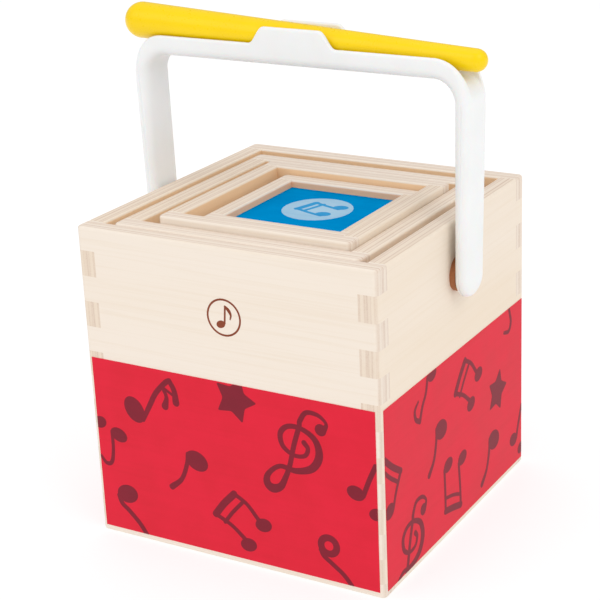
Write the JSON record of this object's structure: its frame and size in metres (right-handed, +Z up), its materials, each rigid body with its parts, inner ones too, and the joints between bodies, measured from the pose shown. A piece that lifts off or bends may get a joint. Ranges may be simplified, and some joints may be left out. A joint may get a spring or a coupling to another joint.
{
  "type": "nesting music boxes with carry handle",
  "caption": "Nest of square plywood music boxes with printed sides, carried by a swinging moulded bail handle that clips a tapered wooden beater.",
  "frame": {"origin": "centre of the outer box's underside", "axes": "+Z up, +X to the right along the front, +Y to the back"},
  "size_m": [0.1834, 0.1504, 0.2355],
  "materials": {
    "plywood": "sanded, clear water-based lacquer",
    "red_print": "screen-printed satin ink on plywood",
    "yellow_print": "screen-printed satin ink on plywood",
    "green_print": "screen-printed satin ink on plywood",
    "blue_print": "screen-printed satin ink on plywood",
    "handle_plastic": "moulded white plastic, soft gloss",
    "spacer_fibre": "stamped vulcanised fibre",
    "pin_steel": "zinc-plated",
    "beater_lacquer": "turned beech, glossy yellow lacquer"
  },
  "bodies": {
    "outer_box": {"outer_front_wall": "plywood", "outer_back_wall": "plywood", "outer_left_wall": "plywood", "outer_right_wall": "plywood", "outer_base": "plywood", "outer_front_print": "red_print", "outer_back_print": "red_print", "outer_left_print": "red_print", "outer_right_print": "red_print", "spacer_ring_left": "spacer_fibre", "spacer_ring_right": "spacer_fibre"},
    "second_box": {"second_front_wall": "plywood", "second_back_wall": "plywood", "second_left_wall": "plywood", "second_right_wall": "plywood", "second_base": "plywood", "second_front_print": "yellow_print", "second_back_print": "yellow_print", "second_left_print": "yellow_print", "second_right_print": "yellow_print"},
    "third_box": {"third_front_wall": "plywood", "third_back_wall": "plywood", "third_left_wall": "plywood", "third_right_wall": "plywood", "third_base": "plywood", "third_front_print": "green_print", "third_back_print": "green_print", "third_left_print": "green_print", "third_right_print": "green_print"},
    "inner_box": {"inner_front_wall": "plywood", "inner_back_wall": "plywood", "inner_left_wall": "plywood", "inner_right_wall": "plywood", "inner_base": "plywood", "inner_front_print": "blue_print", "inner_back_print": "blue_print", "inner_left_print": "blue_print", "inner_right_print": "blue_print", "inner_lid_panel": "plywood", "inner_lid_print": "blue_print"},
    "handle": {"handle_bail": "handle_plastic", "pivot_pin_left": "pin_steel", "pivot_pin_right": "pin_steel"},
    "beater": {"beater": "beater_lacquer"}
  },
  "joints": [
    {"name": "handle_swing", "type": "hinge", "parent": "outer_box", "child": "handle", "pos_m": [0, 0, 0.125], "axis": [1, 0, 0], "range_deg": [-112, 112]},
    {"name": "beater_pull", "type": "slide", "parent": "handle", "child": "beater", "axis": [0, 0, 1], "range_m": [0, 0.03]},
    {"name": "second_box_lift", "type": "slide", "parent": "outer_box", "child": "second_box", "axis": [0, 0, 1], "range_m": [0, 0.05]},
    {"name": "third_box_lift", "type": "slide", "parent": "second_box", "child": "third_box", "axis": [0, 0, 1], "range_m": [0, 0.05]},
    {"name": "inner_box_lift", "type": "slide", "parent": "third_box", "child": "inner_box", "axis": [0, 0, 1], "range_m": [0, 0.05]}
  ]
}
